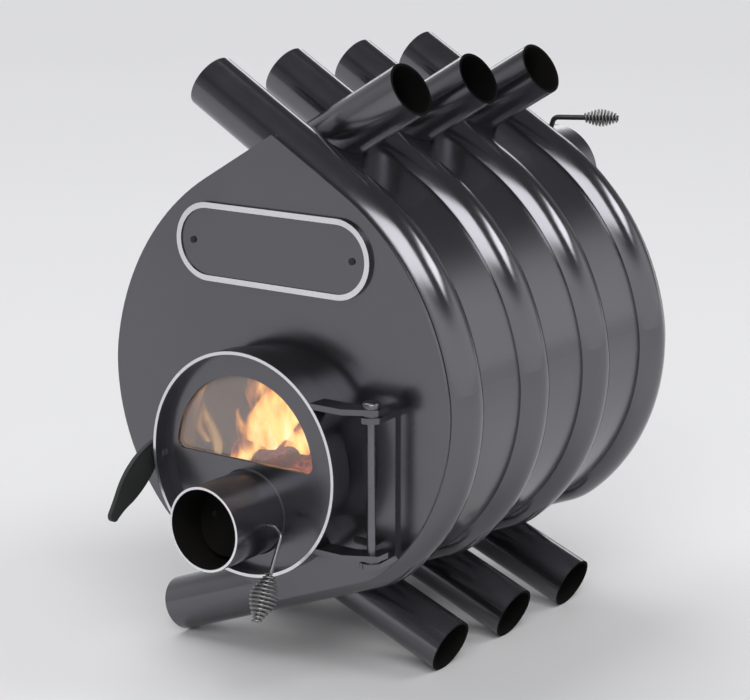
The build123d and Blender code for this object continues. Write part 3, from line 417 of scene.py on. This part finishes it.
# Each log's two ends, its radius, how far from its middle the split face is as a share of
# the radius, and the angle that the split face turns to
LOGS = {
    "log_left": ((-0.085, -0.17, 0.206), (-0.03, 0.08, 0.208), 0.026, 0.55, 1.2),
    "log_front": ((-0.052, -0.187, 0.206), (0.07, -0.155, 0.204), 0.0225, 0.75, 2.4),
    "log_top": ((-0.08, -0.05, 0.246), (0.07, -0.12, 0.25), 0.023, 0.6, 4.4),
    "log_leaning": ((-0.02, -0.175, 0.212), (-0.055, 0.02, 0.272), 0.019, 0.7, 5.3),
}
LOG_RINGS = 30
LOG_SIDES = 28
LOG_END_LENGTH = 0.006
LOG_END_SHRINK = 0.22
LOG_END_HOLLOW = 0.004
LEAST_SPLIT_COSINE = 0.05
CRACK_HEAT = 0.9

BED_COLUMNS = 44
BED_ROWS = 70
BED_HALF_WIDTH = 0.118
BED_FRONT_Y = -0.205
BED_BACK_Y = 0.21
BED_UNDERSIDE_Z = 0.166
BED_EDGE_Z = 0.171
BED_HUMP = 0.012

# Lumps of charcoal: how many lie loose, how many are heaped, and the x and y between which
# each kind lies
LOOSE_LUMPS = (34, (-0.075, 0.07), (-0.2, -0.12))
HEAPED_LUMPS = (22, (-0.02, 0.055), (-0.203, -0.165))
LUMP_SIZES = (0.008, 0.014)
LUMP_STRETCH = (1.25, 1.0, 0.8)
LUMP_Z = 0.186
HEAP_X = 0.016
HEAP_HALF_WIDTH = 0.05
HEAP_HEIGHT = 0.034
HEAP_SHARES = (0.3, 1.0)
LUMP_SEED = 11

# Layers of noise on logs, ash and lumps, each with its scale and its depth. The depths on
# logs and lumps are shares of their radius, and those on ash are metres
BARK_COARSE = (60, 0.07)
BARK_FINE = (160, 0.04)
ASH_COARSE = (40, 0.006)
ASH_FINE = (120, 0.003)
LUMP_COARSE = (70, 0.35)
LUMP_FINE = (220, 0.12)
LUMP_SHIFT = 300


def add_mesh(name, vertices, faces, material, body):
    """A new piece that rides on a body."""
    mesh = bpy.data.meshes.new(name)
    mesh.from_pydata(vertices, [], faces)
    mesh.update()
    piece = bpy.data.objects.new(name, mesh)
    bpy.context.scene.collection.objects.link(piece)
    mesh.materials.append(material)
    mesh.shade_smooth()
    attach(piece, body)
    return piece


def noise_layer(place, layer, shift=(0, 0, 0)):
    """What one of the layers of noise comes to at a place."""
    scale, depth = layer
    return depth * noise.noise(place * scale + Vector(shift))


def grid_faces(rows, columns, first=0):
    """Faces over a grid whose vertices count along each row from its first vertex."""
    across = columns + 1
    corners = [first + row * across + column for row in range(rows) for column in range(columns)]
    return [(a, a + 1, a + across + 1, a + across) for a in corners]


def add_uv(piece, places):
    """A UV map from one (u, v) place per vertex."""
    layer = piece.data.uv_layers.new(name="flame")
    for loop in piece.data.loops:
        layer.data[loop.index].uv = places[loop.vertex_index]


def make_flame_material(name, strength, density):
    """Glowing gas: pale at its root, orange above, and fading out in ragged streaks."""
    material, shader, tree = new_material(name)
    set_inputs(shader, {"Base Color": (0.9, 0.5, 0.2, 1), "Emission Strength": strength})
    uv = tree.nodes.new("ShaderNodeUVMap")
    uv.uv_map = "flame"
    place = separate(tree, uv.outputs["UV"])
    streaks = noise_value(tree, scale=34.0, detail=5.0, stretch=(1, 1, 0.3), distortion=1.6)
    rise = calculate(tree, "MULTIPLY_ADD", streaks, FLAME_STREAKS, place.outputs["Y"])
    sideways = calculate(tree, "ABSOLUTE", place.outputs["X"])
    outness = calculate(tree, "MULTIPLY_ADD", sideways, FLAME_SIDES, rise)
    colour_place = calculate(tree, "MULTIPLY", outness, FLAME_COLOUR_SCALE)
    tree.links.new(ramp(tree, colour_place, FLAME_COLOURS), shader.inputs["Emission Color"])
    fade = map_range(tree, outness, FLAME_FADE, (density, 0.0))
    tree.links.new(fade, shader.inputs["Alpha"])
    return material


def make_flame(name, foot, height, width, turn, lean, phase, material):
    """One tongue of flame: a curved sheet that narrows to a tip."""
    vertices = []
    places = []
    for row in range(FLAME_ROWS + 1):
        v = row / FLAME_ROWS
        sway = FLAME_SWAY * width * math.sin(FLAME_WAVES * math.pi * v + phase)
        swell = FLAME_ROOT + FLAME_SWELL * v
        half = 0.5 * width * swell * (1 - v) ** FLAME_TAPER * FLAME_FULLNESS
        fold = FLAME_FOLD * width * math.sin(3 * v + 2 * phase)
        for column in range(FLAME_COLUMNS + 1):
            u = 2 * column / FLAME_COLUMNS - 1
            across = u * half + sway + lean[0] * v * v
            depth = FLAME_CUP * half * (1 - u * u) + fold + lean[1] * v
            x = foot[0] + across * math.cos(turn) - depth * math.sin(turn)
            y = foot[1] + across * math.sin(turn) + depth * math.cos(turn)
            vertices.append((x, y, foot[2] + height * v))
            places.append((u, v))
    faces = grid_faces(FLAME_ROWS, FLAME_COLUMNS)
    add_uv(add_mesh(name, vertices, faces, material, "stove"), places)


def make_char_material():
    """Charred wood: black, grey where ash lies, cracked and with glowing patches."""
    material, shader, tree = new_material("charred_wood")
    set_inputs(shader, {"Roughness": 0.85, "Emission Strength": 1.3})
    cells = tree.nodes.new("ShaderNodeTexVoronoi")
    cells.feature = "DISTANCE_TO_EDGE"
    set_inputs(cells, {"Scale": 150.0})
    tree.links.new(object_place(tree), cells.inputs["Vector"])
    from_crack = cells.outputs["Distance"]
    char = ramp(tree, noise_value(tree, scale=55.0, detail=6.0), [
        (0.4, (0.02, 0.012, 0.01)), (0.6, (0.06, 0.035, 0.03)), (0.78, (0.22, 0.18, 0.17)),
    ])
    tree.links.new(char, shader.inputs["Base Color"])
    patches = noise_value(tree, scale=28.0, detail=6.0)
    heat = calculate(tree, "MULTIPLY_ADD", from_crack, -CRACK_HEAT, patches)
    glow = ramp(tree, heat, [
        (0.3, (0.03, 0.002, 0.001)), (0.46, (0.16, 0.01, 0.002)),
        (0.58, (0.55, 0.05, 0.008)), (0.7, (1.0, 0.36, 0.06)),
    ])
    tree.links.new(glow, shader.inputs["Emission Color"])
    cracks = bump(tree, shader, from_crack, strength=0.8, distance=0.004)
    grain = noise_value(tree, scale=240.0, detail=4.0)
    bump(tree, shader, grain, strength=0.5, distance=0.001, normal=cracks)
    return material


def make_log(name, start, end, radius, flat, turn, material):
    """A split log: round bark on one side and a flat split face on the other."""
    axis = Vector(end) - Vector(start)
    across = axis.cross(Vector((0, 0, 1))).normalized()
    up = across.cross(axis).normalized()
    vertices = []
    for ring in range(LOG_RINGS + 1):
        share = ring / LOG_RINGS
        from_end = min(share, 1 - share) * axis.length
        shrink = 1 - LOG_END_SHRINK * max(0.0, 1 - from_end / LOG_END_LENGTH) ** 2
        centre = Vector(start) + axis * share
        for step in range(LOG_SIDES):
            angle = 2 * math.pi * step / LOG_SIDES
            reach = radius * shrink
            split_cosine = math.cos(angle - turn)
            if split_cosine > LEAST_SPLIT_COSINE:
                reach = min(reach, flat * radius / split_cosine)
            place = centre + across * math.cos(angle) * reach + up * math.sin(angle) * reach
            coarse = noise_layer(place, BARK_COARSE, shift=(turn, 0, 0))
            rough = coarse + noise_layer(place, BARK_FINE)
            vertices.append(centre + (place - centre) * (1 + rough))
    faces = []
    for ring in range(LOG_RINGS):
        for step in range(LOG_SIDES):
            a = ring * LOG_SIDES + step
            b = ring * LOG_SIDES + (step + 1) % LOG_SIDES
            faces.append((a, b, b + LOG_SIDES, a + LOG_SIDES))
    vertices.append(Vector(start) + axis * LOG_END_HOLLOW)
    vertices.append(Vector(end) - axis * LOG_END_HOLLOW)
    last_ring = LOG_RINGS * LOG_SIDES
    for step in range(LOG_SIDES):
        after = (step + 1) % LOG_SIDES
        faces.append((after, step, len(vertices) - 2))
        faces.append((last_ring + step, last_ring + after, len(vertices) - 1))
    add_mesh(name, vertices, faces, material, "stove")


def make_ember_material():
    """Glowing charcoal, dark red with orange in the hollows."""
    material, shader, tree = new_material("embers")
    set_inputs(shader, {"Roughness": 0.8, "Emission Strength": 1.1})
    tone = noise_value(tree, scale=90.0, detail=5.0)
    crust = ramp(tree, tone, [(0.35, (0.03, 0.012, 0.01)), (0.7, (0.12, 0.08, 0.075))])
    tree.links.new(crust, shader.inputs["Base Color"])
    glow = ramp(tree, noise_value(tree, scale=42.0, detail=4.0), [
        (0.42, (0.06, 0.003, 0.001)), (0.56, (0.34, 0.02, 0.003)), (0.7, (1.0, 0.24, 0.03)),
    ])
    tree.links.new(glow, shader.inputs["Emission Color"])
    bump(tree, shader, tone, strength=0.7, distance=0.003)
    return material


def make_ash_bed(material):
    """The bed of embers and ash on the crossed tubes, with a rough top and a flat underside."""
    vertices = []
    for is_top in (False, True):
        for row in range(BED_ROWS + 1):
            for column in range(BED_COLUMNS + 1):
                x = BED_HALF_WIDTH * (2 * column / BED_COLUMNS - 1)
                y = BED_FRONT_Y + (BED_BACK_Y - BED_FRONT_Y) * row / BED_ROWS
                hump = BED_HUMP * math.cos(x / BED_HALF_WIDTH * math.pi / 2)
                spot = Vector((x, y, 0))
                coarse = noise_layer(spot, ASH_COARSE, shift=(0, 0, 1))
                rough = coarse + noise_layer(spot, ASH_FINE, shift=(0, 0, 4))
                top_z = BED_EDGE_Z + hump + rough
                vertices.append((x, y, top_z if is_top else BED_UNDERSIDE_Z))
    underside = [face[::-1] for face in grid_faces(BED_ROWS, BED_COLUMNS)]
    top = grid_faces(BED_ROWS, BED_COLUMNS, first=len(vertices) // 2)
    add_mesh("ash_bed", vertices, underside + top, material, "stove")


def scatter(chance, count, x_range, y_range):
    """Random places in a rectangle."""
    return [(chance.uniform(*x_range), chance.uniform(*y_range)) for _ in range(count)]


def make_ember_lumps(material):
    """Lumps of charcoal in front of the logs, loose and in a heap, as one piece."""
    chance = random.Random(LUMP_SEED)
    shape = bmesh.new()
    places = scatter(chance, *LOOSE_LUMPS) + scatter(chance, *HEAPED_LUMPS)
    for index, (x, y) in enumerate(places):
        size = chance.uniform(*LUMP_SIZES)
        pile = 0.0
        if index >= LOOSE_LUMPS[0]:
            slope = max(0.0, 1 - abs(x - HEAP_X) / HEAP_HALF_WIDTH)
            pile = HEAP_HEIGHT * slope * chance.uniform(*HEAP_SHARES)
        centre = Vector((x, y, LUMP_Z + pile))
        ball = bmesh.ops.create_icosphere(shape, subdivisions=3, radius=size)
        for vertex in ball["verts"]:
            coarse = noise_layer(vertex.co, LUMP_COARSE, shift=centre * LUMP_SHIFT)
            fine = noise_layer(vertex.co, LUMP_FINE)
            vertex.co = centre + vertex.co * Vector(LUMP_STRETCH) * (1 + coarse + fine)
    mesh = bpy.data.meshes.new("ember_lumps")
    shape.to_mesh(mesh)
    shape.free()
    piece = bpy.data.objects.new("ember_lumps", mesh)
    bpy.context.scene.collection.objects.link(piece)
    mesh.materials.append(material)
    mesh.shade_smooth()
    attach(piece, "stove")


def make_fire():
    """Ash, embers, logs and flames inside the firebox."""
    embers = make_ember_material()
    make_ash_bed(embers)
    make_ember_lumps(embers)
    char = make_char_material()
    for name, values in LOGS.items():
        make_log(name, *values, char)
    wisp = make_flame_material("wisp", strength=1.1, density=0.4)
    for name, values in WISPS.items():
        make_flame(name, *values, wisp)
    flame = make_flame_material("flame", strength=2.0, density=0.95)
    for index, values in enumerate(FLAMES):
        sideways = FLAME_LEAN[0] * math.sin(index * FLAME_LEAN_STEP)
        lean = (sideways, FLAME_LEAN[1] * math.cos(index))
        phase = index * FLAME_PHASE_STEP
        make_flame(f"flame_{index + 1}", *values, lean, phase, flame)


make_fire()


# Camera, floor and light

# The photograph's own view, worked out from it
CAMERA_PLACE = (1.3969, -1.9626, 0.8813)
CAMERA_TARGET = (-0.0246, -0.006, 0.306)
SENSOR_WIDTH = 36.0
FOCAL_LENGTH = 105.27
CAMERA_REACH = 100.0

# Each softbox's azimuth, its elevation, the angles that it spans, its roll and its radiance.
# The angles are in degrees, and the azimuth counts from the back of the stove to its right.
SOFTBOXES = {
    "softbox_rear": (54, 41, (28, 14), 0, 6.0),
    "softbox_front": (143, 45, (48, 26), 24, 4.7),
    "softbox_left": (278, 62, (50, 40), 0, 2.6),
    "softbox_back": (325, 20, (44, 13), 0, 2.6),
}
LIGHT_DISTANCE = 300.0

# The floor's size, and its colours over a tenth of the distance from the stove in metres. The
# colours darken far away as painted shade
FLOOR_REACH = 60.0
FLOOR_SCALE = 0.1
FLOOR_UNEVENNESS = 0.008
FLOOR_SHADED_COLOURS = (
    (0.05, (0.71, 0.71, 0.715)),
    (0.11, (0.69, 0.69, 0.695)),
    (0.38, (0.63, 0.63, 0.64)),
    (0.65, (0.6, 0.6, 0.61)),
)

# Colours of the studio's walls from far left to far right, and how they give way to its ceiling
WALL_COLOURS = (
    (0.0, (0.7, 0.7, 0.71)),
    (0.3, (0.2, 0.2, 0.21)),
    (0.6, (0.2, 0.2, 0.21)),
    (0.74, (0.88, 0.88, 0.89)),
)
CEILING_SHARE = ((0.38, (0, 0, 0)), (0.5, (1, 1, 1)))
CEILING_COLOUR = (0.1, 0.1, 0.11, 1)
WORLD_STRENGTH = 1.1


def turn_to(thing, target):
    """The turn that makes a camera or a light face a place."""
    return (Vector(target) - thing.location).to_track_quat("-Z", "Y")


def make_camera():
    """The camera of the photograph's view."""
    camera = bpy.data.objects.new("camera", bpy.data.cameras.new("camera"))
    bpy.context.scene.collection.objects.link(camera)
    camera.location = CAMERA_PLACE
    camera.rotation_euler = turn_to(camera, CAMERA_TARGET).to_euler()
    camera.data.sensor_fit = "HORIZONTAL"
    camera.data.sensor_width = SENSOR_WIDTH
    camera.data.lens = FOCAL_LENGTH
    camera.data.clip_end = CAMERA_REACH
    bpy.context.scene.camera = camera


def make_softbox(name, azimuth, elevation, span, roll, radiance):
    """A far rectangular light that faces the stove."""
    size = [2 * LIGHT_DISTANCE * math.tan(math.radians(angle) / 2) for angle in span]
    lamp = bpy.data.lights.new(name, "AREA")
    lamp.shape = "RECTANGLE"
    lamp.size = size[0]
    lamp.size_y = size[1]
    lamp.energy = radiance * math.pi * size[0] * size[1]
    light = bpy.data.objects.new(name, lamp)
    bpy.context.scene.collection.objects.link(light)
    turn = math.radians(azimuth)
    rise = math.radians(elevation)
    flat = math.cos(rise) * LIGHT_DISTANCE
    centre = Vector((0, 0, STOVE_MIDDLE_Z))
    light.location = centre + Vector(
        (flat * math.sin(turn), flat * math.cos(turn), math.sin(rise) * LIGHT_DISTANCE)
    )
    rolled = turn_to(light, centre) @ Quaternion((0, 0, 1), math.radians(roll))
    light.rotation_euler = rolled.to_euler()


def make_floor():
    """A pale matte floor, made a little darker far away as painted shade."""
    mesh = bpy.data.meshes.new("floor")
    corners = [
        (x * FLOOR_REACH, y * FLOOR_REACH, 0) for x, y in ((-1, -1), (1, -1), (1, 1), (-1, 1))
    ]
    mesh.from_pydata(corners, [], [(0, 1, 2, 3)])
    floor = bpy.data.objects.new("floor", mesh)
    bpy.context.scene.collection.objects.link(floor)
    material, shader, tree = new_material("floor")
    set_inputs(shader, {"Roughness": 0.85, "Specular IOR Level": 0.1})
    away = tree.nodes.new("ShaderNodeVectorMath")
    away.operation = "LENGTH"
    tree.links.new(object_place(tree), away.inputs[0])
    cloud = noise_value(tree, scale=1.5, detail=2.0)
    uneven = spread(tree, cloud, (-FLOOR_UNEVENNESS, FLOOR_UNEVENNESS))
    place = calculate(tree, "MULTIPLY_ADD", away.outputs["Value"], FLOOR_SCALE, uneven)
    tree.links.new(ramp(tree, place, FLOOR_SHADED_COLOURS), shader.inputs["Base Color"])
    mesh.materials.append(material)


def make_world():
    """A studio: pale walls on the right and far left, and dark between them and overhead."""
    world = bpy.data.worlds.new("world")
    bpy.context.scene.world = world
    world.use_nodes = True
    tree = world.node_tree
    light = tree.nodes["Background"]
    coords = tree.nodes.new("ShaderNodeTexCoord")
    direction = separate(tree, coords.outputs["Generated"])
    rightness = calculate(tree, "MULTIPLY_ADD", direction.outputs["X"], 0.5, 0.5)
    blend = tree.nodes.new("ShaderNodeMix")
    blend.data_type = "RGBA"
    blend.inputs["B"].default_value = CEILING_COLOUR
    tree.links.new(ramp(tree, rightness, WALL_COLOURS), blend.inputs["A"])
    tree.links.new(ramp(tree, direction.outputs["Z"], CEILING_SHARE), blend.inputs["Factor"])
    tree.links.new(blend.outputs["Result"], light.inputs["Color"])
    set_inputs(light, {"Strength": WORLD_STRENGTH})


make_camera()
make_floor()
make_world()
for name, values in SOFTBOXES.items():
    make_softbox(name, *values)
bpy.context.scene.view_settings.view_transform = "Standard"
